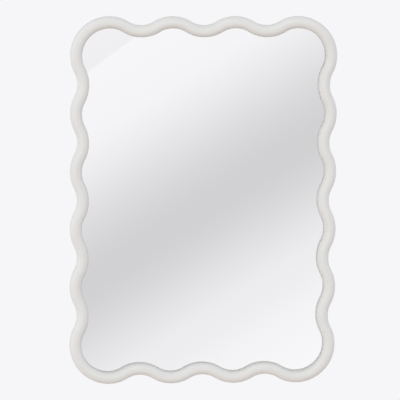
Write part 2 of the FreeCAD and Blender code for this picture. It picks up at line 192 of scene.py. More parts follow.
# %% World light
BACKDROP = srgb(246, 246, 248)
LIGHT_EVEN = (0.985, 1.03, 1.135)
LIGHT_FRONT = (0.30, 0.32, 0.24)
LIGHT_LEFT = (0.193, 0.19, 0.177)
LIGHT_BELOW = (-0.05, -0.13, -0.22)
LIGHT_UPRIGHT = (-0.43, -0.55, -0.67)
LIGHT_FRONT_BELOW = (-0.85, -1.02, -1.06)
LIGHT_BEHIND = (0.84, 0.84, 0.85, 1.0)
BEHIND_STARTS, BEHIND_WHOLE = 0.1, 0.7

world = bpy.data.worlds.new("studio")
scene.world = world
world.use_nodes = True
sky = world.node_tree
sky.nodes.clear()
across, depth, up = split(sky, add(sky, "ShaderNodeTexCoord", pick="Generated"))
forwards = times(sky, depth, -1)
down = calc(sky, "MAXIMUM", times(sky, up, -1), 0)
light = LIGHT_EVEN
for share, colour in (
    (forwards, LIGHT_FRONT),
    (times(sky, across, -1), LIGHT_LEFT),
    (down, LIGHT_BELOW),
    (times(sky, up, up), LIGHT_UPRIGHT),
    (times(sky, down, forwards), LIGHT_FRONT_BELOW),
):
    light = vector_calc(sky, "MULTIPLY_ADD", share, colour, light)
light = mix_colour(sky, rescale(sky, depth, BEHIND_STARTS, BEHIND_WHOLE), light, LIGHT_BEHIND)
soft_light = add(sky, "ShaderNodeBackground", {0: light, 1: 1.0})
plain_white = add(sky, "ShaderNodeBackground", {0: BACKDROP, 1: 1.0})
rays = sky.nodes.new("ShaderNodeLightPath").outputs
seen = total(sky, rays["Is Camera Ray"], rays["Is Glossy Ray"], rays["Is Transmission Ray"])
seen = calc(sky, "MINIMUM", seen, 1.0)
either = add(sky, "ShaderNodeMixShader", {0: seen, 1: soft_light, 2: plain_white})
sky.links.new(either, sky.nodes.new("ShaderNodeOutputWorld").inputs["Surface"])
print("world:", len(sky.nodes), "nodes")

# %% [markdown]
# ## Lamp and floor
# A faint lamp from the left adds a hint of direction. The pale floor lies well below the frame and
# fades out before its edge, so no line crosses the picture. It takes shadows, but doesn't light
# matt surfaces: the world's light from below already is what a floor would return.

# %% Lamp
LAMP_PLACE = Vector((-2.4, -2.3, 0.9))
LAMP_SIDE = 2.2
LAMP_POWER = 2.0

lamp = bpy.data.lights.new("soft_lamp", "AREA")
lamp.shape = "SQUARE"
lamp.size = LAMP_SIDE
lamp.energy = LAMP_POWER
soft_lamp = put("soft_lamp", lamp)
soft_lamp.location = LAMP_PLACE
soft_lamp.rotation_euler = (-LAMP_PLACE).to_track_quat("-Z", "Y").to_euler()
print("lamp:", round(LAMP_PLACE.length, 2), "m away")

# %% Floor
FLOOR_HEIGHT = -0.78
FLOOR_HALF = 1.4
FADE_STARTS = 0.35 * FLOOR_HALF
FLOOR_PALE = srgb(246, 245, 243)


def empty_material(name):
    """A material without nodes, and its tree."""
    material = bpy.data.materials.new(name)
    material.use_nodes = True
    material.node_tree.nodes.clear()
    return material, material.node_tree


def show(tree, shader):
    """Make a shader the material's surface."""
    tree.links.new(shader, tree.nodes.new("ShaderNodeOutputMaterial").inputs["Surface"])


floor_mesh = bpy.data.meshes.new("floor")
signs = ((-1, -1), (1, -1), (1, 1), (-1, 1))
corners = [(x * FLOOR_HALF, y * FLOOR_HALF, FLOOR_HEIGHT) for x, y in signs]
floor_mesh.from_pydata(corners, [], [(0, 1, 2, 3)])
floor = put("floor", floor_mesh)
floor.visible_diffuse = False

pale_floor, tree = empty_material("pale_floor")
x, y, _ = split(tree, place(tree))
away = vector_calc(tree, "LENGTH", join(tree, x, y), pick="Value")
fade = rescale(tree, away, FADE_STARTS, FLOOR_HALF, smooth=True)
matt = add(tree, "ShaderNodeBsdfDiffuse", {"Color": FLOOR_PALE})
clear = add(tree, "ShaderNodeBsdfTransparent")
show(tree, add(tree, "ShaderNodeMixShader", {0: fade, 1: matt, 2: clear}))
floor_mesh.materials.append(pale_floor)
print("floor:", 2 * FLOOR_HALF, "m wide")

# %% [markdown]
# ## The room in the mirror
# A mirror shows what stands opposite. In the photograph that is a soft shade which runs slantwise
# across the pane, and the edge of a card in one corner. A modelled room could give them too, but a
# large dome that only shiny surfaces see is simpler to steer. A ray from the lens is turned back
# by the pane and followed to the dome, so each shade can be given where the pane shows it. Farther
# round, where other views look, come more shades, a brown floor and a pale ceiling.

# %% Shades of the room
ROOM_RADIUS = 3.0
PANE_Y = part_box("mirror_glass")[0].y
PANE_SHARE = 0.95
ROOM_TINT = (1.0, 0.984, 1.003)
SHADE_LEAN = radians(33)
SHADES_ON_PANE = {-260: 0.912, -120: 0.75, 30: 0.642, 190: 0.809, 290: 0.873, 390: 0.924}
SHADES_FARTHER_ROUND = {
    -1.0: 0.8, -0.85: 0.6, -0.7: 0.88, -0.5: 0.6, -0.28: 0.9,
    0.42: 0.92, 0.6: 0.62, 0.78: 0.9, 1.0: 0.6,
}
FLOOR_LINE, FLOOR_SHADE = (-0.9, -1.3), srgb(112, 84, 58)
CEILING_LINE, CEILING_SHADE = (0.9, 1.6), srgb(242, 246, 247)
CARD_LEAN = radians(36.7)
CARD_EDGE = -388.7
CARD_BLUR = 0.001
CARD_SHADE = 0.935


def leaning(lean):
    return Vector((sin(lean), 0, -cos(lean)))


def place_on_dome(distance, lean):
    """How far across the dome, from -1 to 1, the lens looks when it meets the pane there."""
    spot = leaning(lean) * distance * MM + Vector((0, PANE_Y, 0))
    ray = (spot - camera.location).normalized()
    ray.y = -ray.y
    half = spot.dot(ray)
    reach = sqrt(half ** 2 - spot.length_squared + ROOM_RADIUS ** 2) - half
    return (spot + ray * reach).dot(leaning(lean)) / ROOM_RADIUS


def across_dome(tree, lean):
    """The same distance, as a node."""
    direction = leaning(lean) / ROOM_RADIUS
    return vector_calc(tree, "DOT_PRODUCT", place(tree), direction, pick="Value")


stops = {place_on_dome(spot, SHADE_LEAN): shade for spot, shade in SHADES_ON_PANE.items()}
stops = sorted({**SHADES_FARTHER_ROUND, **stops}.items())
print("dome shades:", [(round(spot, 3), shade) for spot, shade in stops])

# %% Dome
bpy.ops.mesh.primitive_uv_sphere_add(segments=96, ring_count=48, radius=ROOM_RADIUS)
dome = bpy.context.object
dome.name = "room_opposite"
dome.visible_camera = dome.visible_diffuse = dome.visible_shadow = False

room_shades, tree = empty_material("room_shades")
ramp = add(tree, "ShaderNodeValToRGB", {0: rescale(tree, across_dome(tree, SHADE_LEAN), -1, 1)})
ramp.node.color_ramp.interpolation = "CARDINAL"
elements = ramp.node.color_ramp.elements
while len(elements) < len(stops):
    elements.new(0.5)
for element, (spot, shade) in zip(elements, stops):
    element.position = (spot + 1) / 2
    element.color = (*(shade / PANE_SHARE * part for part in ROOM_TINT), 1)
edge = place_on_dome(CARD_EDGE, CARD_LEAN)
past_card = across_dome(tree, CARD_LEAN)
card = rescale(tree, past_card, edge - CARD_BLUR, edge + CARD_BLUR, CARD_SHADE, 1.0)
height = split(tree, place(tree))[2]
shades = mix_colour(tree, rescale(tree, height, *FLOOR_LINE, smooth=True), ramp, FLOOR_SHADE)
near_ceiling = rescale(tree, height, *CEILING_LINE, smooth=True)
shades = mix_colour(tree, near_ceiling, shades, CEILING_SHADE)
show(tree, add(tree, "ShaderNodeEmission", {0: shades, 1: card}))
dome.data.materials.append(room_shades)
print(room_shades.name, len(tree.nodes), "nodes")

# %% [markdown]
# ## Materials
# Each finish is a node tree on the piece's own coordinates, so its pattern stays on the piece
# from any side. A helper starts a tree with its shader; numbers that are the same all over go
# straight onto the shader's sockets. Scales of patterns are counted per metre.

# %% Material helpers
def new_material(name, constants):
    """A material with its shader; returns it, its tree and the shader's inputs."""
    material, tree = empty_material(name)
    shader = tree.nodes.new("ShaderNodeBsdfPrincipled")
    for key, value in constants.items():
        shader.inputs[key].default_value = value
    show(tree, shader.outputs[0])
    return material, tree, shader.inputs


def stretch(tree, vector, scale, turn=0.0):
    """Turn a pattern's coordinates about their third axis, then squeeze them axis by axis."""
    values = {0: vector, "Rotation": (0, 0, turn)}
    turned = add(tree, "ShaderNodeMapping", values) if turn else vector
    return vector_calc(tree, "MULTIPLY", turned, scale)


def noise(tree, vector, scale=1.0, detail=2.0, roughness=0.5, pick=0):
    values = {"Vector": vector, "Scale": scale, "Detail": detail, "Roughness": roughness}
    return add(tree, "ShaderNodeTexNoise", values, pick)


def bump(tree, height, distance, strength=1.0):
    values = {"Height": height, "Distance": distance, "Strength": strength}
    return add(tree, "ShaderNodeBump", values)


print("material helpers ready")

# %% [markdown]
# ## Painted wood
# The moulding is solid wood under an off-white satin paint. The brush went along the waves and
# left faint streaks, and sanding left fine hairlines across them. The back was never painted:
# the paint stops in a ragged edge on bare wood, whose grain runs along each member up to the
# mitres. Two materials would part along a row of faces, so one does both: the moulding carries a
# map of lengths in metres, along the waves and round the section, which says where the paint stops.

# %% Sizes of the frame
OUTER_WIDTH, OUTER_HEIGHT = 600 * MM, 830 * MM
CORNER_RADIUS = 75 * MM
FRAME_WIDTH = 26 * MM
RABBET_DEPTH = 10 * MM
LIP_ROUND, LIP_STRAIGHT = 6 * MM, 4 * MM
FRAME_DEPTH = RABBET_DEPTH + LIP_ROUND + LIP_STRAIGHT + FRAME_WIDTH / 2
WALL_GAP = 4.5 * MM
STILE_CREST = (OUTER_WIDTH - FRAME_WIDTH) / 2
RAIL_CREST = (OUTER_HEIGHT - FRAME_WIDTH) / 2
print("crests:", round(STILE_CREST, 4), round(RAIL_CREST, 4))

# %% White paint
PAINT_LIGHT, PAINT_SHADE = srgb(230, 230, 228), srgb(219, 218, 215)
FINE_STREAKS, BROAD_STREAKS = (9, 650, 1), (4, 260, 1)
HAIRLINES, HAIRLINE_TURN = (22, 1100, 1), radians(33)

white_paint, tree, shader = new_material("white_paint", {"Specular IOR Level": 0.3})
lengths = add(tree, "ShaderNodeUVMap", uv_map="moulding")
brush = noise(tree, stretch(tree, lengths, FINE_STREAKS), detail=3.0)
strokes = noise(tree, stretch(tree, lengths, BROAD_STREAKS))
hairs = noise(tree, stretch(tree, lengths, HAIRLINES, HAIRLINE_TURN))
cloud = noise(tree, place(tree), scale=14.0)
parts = ((brush, 0.3), (strokes, 0.7), (hairs, 0.3), (cloud, 0.3))
tone = total(tree, *(times(tree, part, share) for part, share in parts))
paint = mix_colour(tree, rescale(tree, tone, 0.5, 1.1), PAINT_SHADE, PAINT_LIGHT)
print("paint:", len(tree.nodes), "nodes")

# %% Bare wood behind it
WOOD_PALE, WOOD_DARK = srgb(214, 190, 152), srgb(180, 148, 106)
FINE_GRAIN, BROAD_GRAIN = (9, 420, 420), (2.5, 70, 70)
MITRE_DARK, MITRE_STRENGTH = srgb(70, 52, 36), 0.85
MITRE_LINE, MITRE_BLUR = 0.15 * MM, 0.5 * MM

x, y, z = split(tree, place(tree))
past_mitre = minus(tree, calc(tree, "ABSOLUTE", x), calc(tree, "ABSOLUTE", z))
past_mitre = total(tree, past_mitre, RAIL_CREST - STILE_CREST)
on_stile = calc(tree, "GREATER_THAN", past_mitre, 0.0)
swing = times(tree, on_stile, minus(tree, z, x))
along_member = join(tree, total(tree, x, swing), minus(tree, z, swing), y)
grain = noise(tree, stretch(tree, along_member, FINE_GRAIN), detail=3.0)
figure = noise(tree, stretch(tree, along_member, BROAD_GRAIN))
wood_tone = total(tree, times(tree, grain, 0.5), times(tree, figure, 0.5))
wood = mix_colour(tree, rescale(tree, wood_tone, 0.36, 0.64), WOOD_PALE, WOOD_DARK)
off_mitre = calc(tree, "ABSOLUTE", past_mitre)
joint = rescale(tree, off_mitre, MITRE_LINE, MITRE_BLUR, MITRE_STRENGTH, 0.0)
wood = mix_colour(tree, joint, wood, MITRE_DARK)
print("paint and wood:", len(tree.nodes), "nodes")

# %% Where the paint stops
PAINT_STARTS, PAINT_ENDS = 11 * MM, 87 * MM
RAGGED, RAGGED_BLUR = 7 * MM, 0.4 * MM
WOOD_ROUGHNESS = 0.78

around = split(tree, lengths)[1]
ragged = noise(tree, stretch(tree, lengths, (45, 160, 1)), detail=4.0, roughness=0.6)
edge = total(tree, around, times(tree, minus(tree, ragged, 0.5), RAGGED))
behind = rescale(tree, edge, PAINT_ENDS - RAGGED_BLUR, PAINT_ENDS + RAGGED_BLUR)
rabbet = calc(tree, "LESS_THAN", around, PAINT_STARTS)
bare = calc(tree, "MAXIMUM", behind, rabbet)
tree.links.new(mix_colour(tree, bare, paint, wood), shader["Base Color"])
satin = rescale(tree, brush, 0.2, 0.8, 0.45, 0.62)
rough = calc(tree, "MULTIPLY_ADD", bare, minus(tree, WOOD_ROUGHNESS, satin), satin)
tree.links.new(rough, shader["Roughness"])
relief = total(tree, brush, hairs, times(tree, bare, grain), times(tree, bare, -1.5))
tree.links.new(bump(tree, relief, 0.05 * MM, 0.6), shader["Normal"])
print(white_paint.name, len(tree.nodes), "nodes")

# %% [markdown]
# ## Trees that make shapes
# What follows a rule is made by Geometry Nodes: a tree with named sizes runs on an object as a
# modifier, and its result is kept as a plain mesh. Cut edges of steel are eased by a narrow Bevel,
# because no real edge is quite sharp and the light catches it.

# %% Tree helpers
SAME_POINT = 0.001 * MM


def new_tree(name, inputs):
    """An empty tree with named inputs; returns the tree, their outputs inside it, and its end."""
    tree = bpy.data.node_groups.new(name, "GeometryNodeTree")
    kinds = {"Geometry": "NodeSocketGeometry", "Material": "NodeSocketMaterial"}
    for title in ("Geometry", *inputs, "Material"):
        kind = kinds.get(title, "NodeSocketFloat")
        tree.interface.new_socket(title, in_out="INPUT", socket_type=kind)
    tree.interface.new_socket("Geometry", in_out="OUTPUT", socket_type="NodeSocketGeometry")
    start = tree.nodes.new("NodeGroupInput").outputs
    return tree, start, tree.nodes.new("NodeGroupOutput").inputs[0]


def finish_tree(tree, geometry, size, end):
    """Every tree ends with plain geometry and its material."""
    plain = add(tree, "GeometryNodeRealizeInstances", {0: geometry})
    values = {0: plain, "Material": size["Material"]}
    tree.links.new(add(tree, "GeometryNodeSetMaterial", values), end)


def choose(tree, kind, options, index=None):
    """One of several values for each point, by the point's own number unless another is given."""
    node = tree.nodes.new("GeometryNodeIndexSwitch")
    node.data_type = kind
    while len(node.index_switch_items) < len(options):
        node.index_switch_items.new()
    tree.links.new(index or add(tree, "GeometryNodeInputIndex"), node.inputs[0])
    for number, option in enumerate(options, start=1):
        fill(tree, node.inputs[number], option)
    return node.outputs[0]


def merged(tree, geometry, distance=SAME_POINT):
    """Points that lie on one another made one, so that the skin is closed."""
    return add(tree, "GeometryNodeMergeByDistance", {0: geometry, "Distance": distance})


def smoothed(tree, geometry, degrees=35):
    """Smooth shading with the sharper edges kept."""
    shaded = add(tree, "GeometryNodeSetShadeSmooth", {0: geometry, "Shade Smooth": True})
    angle = add(tree, "GeometryNodeInputMeshEdgeAngle")
    sharp = calc(tree, "GREATER_THAN", angle, radians(degrees))
    values = {0: shaded, "Selection": sharp, "Shade Smooth": False}
    return add(tree, "GeometryNodeSetShadeSmooth", values, domain="EDGE")


print("tree helpers ready")

# %% Curves and places
def rectangle(tree, width, height):
    values = {"Width": width, "Height": height}
    return add(tree, "GeometryNodeCurvePrimitiveQuadrilateral", values)


def rounded(tree, curve, radius, count):
    """A curve with its corners bent to arcs of so many points."""
    values = {0: curve, "Radius": radius, "Count": count, "Limit Radius": True}
    return add(tree, "GeometryNodeFilletCurve", values, mode="POLY")


def even_steps(tree, curve, step):
    return add(tree, "GeometryNodeResampleCurve", {0: curve, "Length": step}, mode="LENGTH")


def moved(tree, geometry, spot=(0, 0, 0), turn=(0, 0, 0)):
    values = {0: geometry, "Translation": spot, "Rotation": turn}
    return add(tree, "GeometryNodeTransform", values)


def repeated(tree, points, shape, turn=(0, 0, 0)):
    """A shape set at every point."""
    values = {"Points": points, "Instance": shape, "Rotation": turn}
    return add(tree, "GeometryNodeInstanceOnPoints", values)


print("curve helpers ready")

# %% Running a tree
SHARP_EDGE = radians(40)


def ease_edges(piece, width):
    """A narrow Bevel along the sharper edges."""
    bevel = piece.modifiers.new("eased_edges", "BEVEL")
    bevel.width = width
    bevel.segments = 2
    bevel.limit_method = "ANGLE"
    bevel.angle_limit = SHARP_EDGE


def make_plain(piece):
    """Keep what the modifiers make of a piece as its mesh, and take them off."""
    before = piece.data
    shown = piece.evaluated_get(bpy.context.evaluated_depsgraph_get())
    piece.data = bpy.data.meshes.new_from_object(shown)
    piece.modifiers.clear()
    bpy.data.meshes.remove(before)
    piece.data.name = piece.name
    print(f"{piece.name}: {len(piece.data.vertices)} points, {len(piece.data.polygons)} faces")


def run_tree(name, tree, inputs, points=(), edge=0.0):
    """Run a tree on a new object, ease its edges, keep a plain mesh."""
    mesh = bpy.data.meshes.new(name)
    mesh.from_pydata(points, [], [])
    piece = put(name, mesh)
    modifier = piece.modifiers.new("shape", "NODES")
    modifier.node_group = tree
    items = tree.interface.items_tree
    sockets = {item.name: item.identifier for item in items if item.in_out == "INPUT"}
    for title, value in inputs.items():
        modifier[sockets[title]] = value
    if edge:
        ease_edges(piece, edge)
    make_plain(piece)
    return piece


print("trees can run")

# %% [markdown]
# ## The wavy path
# The frame is one round-fronted moulding that runs in even waves. It could be modelled by hand
# round the loop, but its shape is a rule, so nodes make it: a rounded rectangle runs through the
# crests, and arcs that are crest and dip in turn push each straight side inwards.

# %% The wavy path
PATH_INPUTS = {
    "Stile Crest": STILE_CREST,
    "Rail Crest": RAIL_CREST,
    "Corner Radius": CORNER_RADIUS,
    "Stile Dips": 5,
    "Rail Dips": 3,
    "Stile Wave": 16 * MM,
    "Rail Wave": 20 * MM,
    "Step": 2.7 * MM,
}
ON_CREST = 0.01 * MM


def wave_push(tree, along, reach, dips, depth):
    """How far the wave pushes a point of a side inwards: equal arcs, crest and dip in turn."""
    half_pitch = calc(tree, "DIVIDE", reach, dips)
    quarter = times(tree, half_pitch, 0.5)
    half_depth = times(tree, depth, 0.5)
    squares = total(tree, calc(tree, "POWER", quarter, 2), calc(tree, "POWER", half_depth, 2))
    radius = calc(tree, "DIVIDE", squares, depth)
    step = calc(tree, "ROUND", calc(tree, "DIVIDE", along, half_pitch))
    off = minus(tree, along, times(tree, step, half_pitch))
    chord = minus(tree, calc(tree, "POWER", radius, 2), times(tree, off, off))
    sag = minus(tree, radius, calc(tree, "SQRT", chord))
    is_dip = calc(tree, "FLOORED_MODULO", total(tree, step, dips), 2)
    dip_minus_crest = minus(tree, depth, times(tree, sag, 2))
    return calc(tree, "MULTIPLY_ADD", is_dip, dip_minus_crest, sag)


def wavy_path(tree, size):
    """The moulding's middle line: a rounded rectangle with its sides pushed in by the waves."""
    sides = [times(tree, size[title], 2) for title in ("Stile Crest", "Rail Crest")]
    loop = rounded(tree, rectangle(tree, *sides), size["Corner Radius"], 48)
    loop = even_steps(tree, loop, size["Step"])
    x, y, _ = split(tree, add(tree, "GeometryNodeInputPosition"))
    pushes = []
    for side, other, out, along in (("Stile", "Rail", x, y), ("Rail", "Stile", y, x)):
        reach = minus(tree, size[f"{other} Crest"], size["Corner Radius"])
        push = wave_push(tree, along, reach, size[f"{side} Dips"], size[f"{side} Wave"])
        near_crest = minus(tree, size[f"{side} Crest"], ON_CREST)
        on_side = calc(tree, "GREATER_THAN", calc(tree, "ABSOLUTE", out), near_crest)
        inwards = times(tree, calc(tree, "SIGN", out), -1)
        pushes.append(times(tree, times(tree, push, on_side), inwards))
    return add(tree, "GeometryNodeSetPosition", {0: loop, "Offset": join(tree, *pushes)})


print("path inputs:", ", ".join(PATH_INPUTS))

# %% [markdown]
# ## The section and the sweep
# Cut across, the moulding is a half round on an upright wall, turned in under itself down to the
# glass, with a rabbet behind. Nodes fillet its six corners, each by its own radius, and sweep it
# along the path. Where two fillets meet, their end points fall together and are merged. The swept
# skin is quite even, which paint over wood never is, so the front gets a ripple of a tenth of a
# millimetre. Lengths along and round the moulding are stored as its map for the paint.

# %% The section
SECTION_INPUTS = {
    "Width": FRAME_WIDTH,
    "Depth": FRAME_DEPTH,
    "Rabbet Width": 8 * MM,
    "Rabbet Depth": RABBET_DEPTH,
    "Rabbet Edge": 0.3 * MM,
    "Lip Round": LIP_ROUND,
    "Back Round": 4 * MM,
    "Wall Gap": WALL_GAP,
    "Relief": 0.12 * MM,
}


def moulding_section(tree, size):
    """The moulding cut across: outwards along X, forwards along -Y, from the back's inner edge."""
    half = times(tree, size["Width"], 0.5)
    inner = times(tree, half, -1)
    wall = total(tree, inner, size["Rabbet Width"])
    back = times(tree, size["Wall Gap"], -1)
    shoulder = minus(tree, back, size["Rabbet Depth"])
    front = minus(tree, back, size["Depth"])
    corners = [
        (wall, back, size["Rabbet Edge"], 2),
        (wall, shoulder, size["Rabbet Edge"], 2),
        (inner, shoulder, size["Lip Round"], 8),
        (inner, front, half, 24),
        (half, front, half, 24),
        (half, back, size["Back Round"], 8),
    ]
    line = add(tree, "GeometryNodeMeshLine", {"Count": len(corners)})
    spots = choose(tree, "VECTOR", [join(tree, across, along) for across, along, _, _ in corners])
    line = add(tree, "GeometryNodeSetPosition", {0: line, "Position": spots})
    line = add(tree, "GeometryNodeMeshToCurve", {0: line})
    line = add(tree, "GeometryNodeSetSplineCyclic", {0: line, "Cyclic": True})
    radii = choose(tree, "FLOAT", [radius for _, _, radius, _ in corners])
    counts = choose(tree, "INT", [count for _, _, _, count in corners])
    return rounded(tree, line, radii, counts)


print("section inputs:", ", ".join(SECTION_INPUTS))

# %% The sweep
DOUBLED_ROW = 0.005 * MM
RIPPLE_SCALE = 26.0
RIPPLE_SETS_IN = 6 * MM


def mark_length(tree, curve, title):
    """Write on each point of a curve how far along the curve it is."""
    length = add(tree, "GeometryNodeSplineParameter", pick="Length")
    values = {0: curve, "Name": title, "Value": length}
    return add(tree, "GeometryNodeStoreNamedAttribute", values)


def unrolled(tree, title, curve):
    """The written length at a face's corner, carried past the end where a face closes the loop."""
    length = add(tree, "GeometryNodeInputNamedAttribute", {"Name": title}, data_type="FLOAT")
    whole = add(tree, "GeometryNodeCurveLength", {0: curve})
    middle = add(tree, "GeometryNodeFieldOnDomain", {0: length}, domain="FACE")
    behind = minus(tree, middle, calc(tree, "DIVIDE", whole, 4))
    return calc(tree, "MULTIPLY_ADD", calc(tree, "LESS_THAN", length, behind), whole, length)


moulding_inputs = {**PATH_INPUTS, **SECTION_INPUTS}
tree, size, end = new_tree("wavy_moulding", moulding_inputs)
path = mark_length(tree, wavy_path(tree, size), "along")
section = mark_length(tree, moulding_section(tree, size), "around")
sweep = add(tree, "GeometryNodeCurveToMesh", {0: path, "Profile Curve": section})
uv = join(tree, unrolled(tree, "along", path), unrolled(tree, "around", section))
values = {0: sweep, "Name": "moulding", "Value": uv}
sweep = add(tree, "GeometryNodeStoreNamedAttribute", values, data_type="FLOAT2", domain="CORNER")
sweep = merged(tree, sweep, DOUBLED_ROW)
position = add(tree, "GeometryNodeInputPosition")
lip_top = total(tree, size["Wall Gap"], size["Rabbet Depth"], size["Lip Round"])
on_front = total(tree, lip_top, RIPPLE_SETS_IN)
on_front = rescale(tree, split(tree, position)[2], lip_top, on_front)
ripple = rescale(tree, noise(tree, position, RIPPLE_SCALE, detail=1.0), 0.2, 0.8, -1.0, 1.0)
lift = times(tree, times(tree, ripple, on_front), size["Relief"])
offset = vector_calc(tree, "MULTIPLY", add(tree, "GeometryNodeInputNormal"), lift)
sweep = add(tree, "GeometryNodeSetPosition", {0: sweep, "Offset": offset})
sweep = smoothed(tree, sweep)
for title in ("along", "around"):
    sweep = add(tree, "GeometryNodeRemoveAttribute", {0: sweep, "Name": title})
finish_tree(tree, moved(tree, sweep, turn=(radians(90), 0, 0)), size, end)
wavy_frame = run_tree("wavy_frame", tree, {**moulding_inputs, "Material": white_paint})
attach(wavy_frame, "mirror")
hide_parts("top_rail", "bottom_rail", "left_stile", "right_stile")

# %% [markdown]
# ## The pane
# The glass is a plain wavy sheet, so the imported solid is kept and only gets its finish. Seen from
# the front, a silvered pane is a mirror: metal with next to no roughness. Where the sheet turns
# its edge or its back, the silver doesn't show: the edge is greenish glass, the back grey paint.
# One material tells the three apart by the way the surface faces.

# %% Silvered glass
SILVER = srgb(249, 250, 250)
GLASS_EDGE = srgb(120, 160, 148)
COAT_DARK, COAT_LIGHT = srgb(104, 108, 112), srgb(120, 124, 128)
COAT_ROUGHNESS, SMEAR_ROUGHNESS = 0.5, 0.012


def dress(material, node):
    """Give a kept solid its finish."""
    for slot in frame["nodes"][node].material_slots:
        slot.material = material
    print(material.name, "on", node)


silvered_glass, tree, shader = new_material("silvered_glass", {"Specular IOR Level": 0.5})
facing = split(tree, add(tree, "ShaderNodeTexCoord", pick="Normal"))[1]
front = calc(tree, "LESS_THAN", facing, -0.5)
back = calc(tree, "GREATER_THAN", facing, 0.5)
dust = noise(tree, place(tree), scale=9.0, detail=4.0)
coat = mix_colour(tree, noise(tree, place(tree), scale=160.0), COAT_DARK, COAT_LIGHT)
behind = mix_colour(tree, back, GLASS_EDGE, coat)
tree.links.new(mix_colour(tree, front, behind, SILVER), shader["Base Color"])
tree.links.new(front, shader["Metallic"])
smears = rescale(tree, dust, 0.52, 0.8, 0.0, SMEAR_ROUGHNESS)
rough = calc(tree, "MAXIMUM", smears, times(tree, back, COAT_ROUGHNESS))
tree.links.new(rough, shader["Roughness"])
dress(silvered_glass, "mirror_glass")

# %% [markdown]
# ## Safety film
# A film on the back of the glass holds the splinters together if it breaks. It is woven plastic,
# grey-blue, with threads about three millimetres apart. It lies hidden behind the board, so its
# solid is kept, and two crossing sine waves draw and lift the threads.

# %% Safety film
FILM_DARK, FILM_LIGHT = srgb(132, 146, 160), srgb(176, 188, 198)
THREADS = 2100

film, tree, shader = new_material("film", {"Roughness": 0.35})
x, _, z = split(tree, place(tree))
weave = total(tree, *(calc(tree, "SINE", times(tree, along, THREADS)) for along in (x, z)))
tone = total(tree, times(tree, weave, 0.12), noise(tree, place(tree), scale=30.0))
tree.links.new(mix_colour(tree, tone, FILM_DARK, FILM_LIGHT), shader["Base Color"])
tree.links.new(bump(tree, weave, 0.03 * MM), shader["Normal"])
dress(film, "safety_film")

# %% [markdown]
# ## The board
# A sheet of hardboard closes the back, smooth side out. It is pressed from cooked wood fibres, so
# its brown is clouded and crossed by short pale fibres that lie every way. Modelled strands would
# be far too many, so noise that is stretched long, turned five ways and made to sway gives them;
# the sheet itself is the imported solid.

# %% Hardboard
BROWN_DARK, BROWN_LIGHT = srgb(112, 80, 54), srgb(140, 104, 72)
FIBRE_PALE, SPECK_DARK = srgb(168, 132, 96), srgb(70, 48, 34)
FIBRE_TURNS = (8, 41, 79, 116, 152)
FIBRE_STRETCH, FIBRE_SWAY = (170, 1500, 1), (7 * MM,) * 3

fibreboard, tree, shader = new_material("fibreboard", {"Specular IOR Level": 0.35})
x, _, z = split(tree, place(tree))
flat = join(tree, x, z)
sway = noise(tree, flat, scale=60.0, detail=1.0, pick="Color")
swayed = vector_calc(tree, "MULTIPLY_ADD", sway, FIBRE_SWAY, flat)
fibres = []
for turn in FIBRE_TURNS:
    strands = stretch(tree, swayed, FIBRE_STRETCH, radians(turn))
    fibres.append(rescale(tree, noise(tree, strands, detail=1.0), 0.57, 0.79))
fibre = calc(tree, "MINIMUM", total(tree, *fibres), 1.0)
cloud = noise(tree, flat, scale=11.0, detail=5.0, roughness=0.62)
specks = rescale(tree, noise(tree, flat, scale=420.0, detail=1.0), 0.66, 0.74)
brown = mix_colour(tree, rescale(tree, cloud, 0.3, 0.72), BROWN_DARK, BROWN_LIGHT)
brown = mix_colour(tree, times(tree, fibre, 0.45), brown, FIBRE_PALE)
brown = mix_colour(tree, times(tree, specks, 0.6), brown, SPECK_DARK)
tree.links.new(brown, shader["Base Color"])
rough = rescale(tree, total(tree, cloud, fibre), 0.3, 1.6, 0.42, 0.66)
tree.links.new(rough, shader["Roughness"])
tree.links.new(bump(tree, total(tree, fibre, cloud), 0.08 * MM), shader["Normal"])
dress(fibreboard, "backing_board")

# %% [markdown]
# ## Zinc
# The small steel parts are zinc plated: a bright, slightly blue-white metal, dulled in patches,
# with fine scratches from handling. Cells of a Voronoi pattern give the patches, long thin noise
# the scratches. Both shift the roughness a little, and only the scratches are deep enough to feel.

# %% Zinc plated steel
ZINC_DULL, ZINC_BRIGHT = srgb(176, 179, 184), srgb(218, 220, 222)
SCRATCHES, SCRATCH_TURN = (4200, 4200, 160), radians(25)

zinc_steel, tree, shader = new_material("zinc_steel", {"Metallic": 1.0})
cells = add(tree, "ShaderNodeTexVoronoi", {"Vector": place(tree), "Scale": 700}, pick="Color")
patch = split(tree, cells)[0]
cloud = noise(tree, place(tree), scale=240.0, detail=3.0)
scratch = noise(tree, stretch(tree, place(tree), SCRATCHES, SCRATCH_TURN), detail=1.0)
tone = total(tree, times(tree, patch, 0.35), times(tree, cloud, 0.65))
tree.links.new(mix_colour(tree, tone, ZINC_DULL, ZINC_BRIGHT), shader["Base Color"])
dullness = total(tree, tone, rescale(tree, scratch, 0.55, 0.75, 0.0, 0.5))
tree.links.new(rescale(tree, dullness, 0.2, 1.3, 0.24, 0.5), shader["Roughness"])
tree.links.new(bump(tree, scratch, 0.01 * MM), shader["Normal"])
print(zinc_steel.name, len(tree.nodes), "nodes")

# %% [markdown]
# ## Turn buttons
# Eight little steel bars hold the board in, each free to turn on its screw. They are punched from
# sheet: round at both ends, with a hole, and with edges that tumbling has eased. Nodes fill a
# rounded outline with its hole and give it thickness, once for each button because each rides on
# a body of its own, and a Bevel eases the edges.

# %% Button tree
BUTTON_INPUTS = {
    "Width": 10 * MM,
    "Reach": FRAME_WIDTH / 2 + 2 * MM,
    "Thickness": 1.5 * MM,
    "Hole": 1.8 * MM,
    "Height": -4.4 * MM,
}
NEARLY_WHOLE = 0.999  # two bends that just don't meet keep a short straight between them


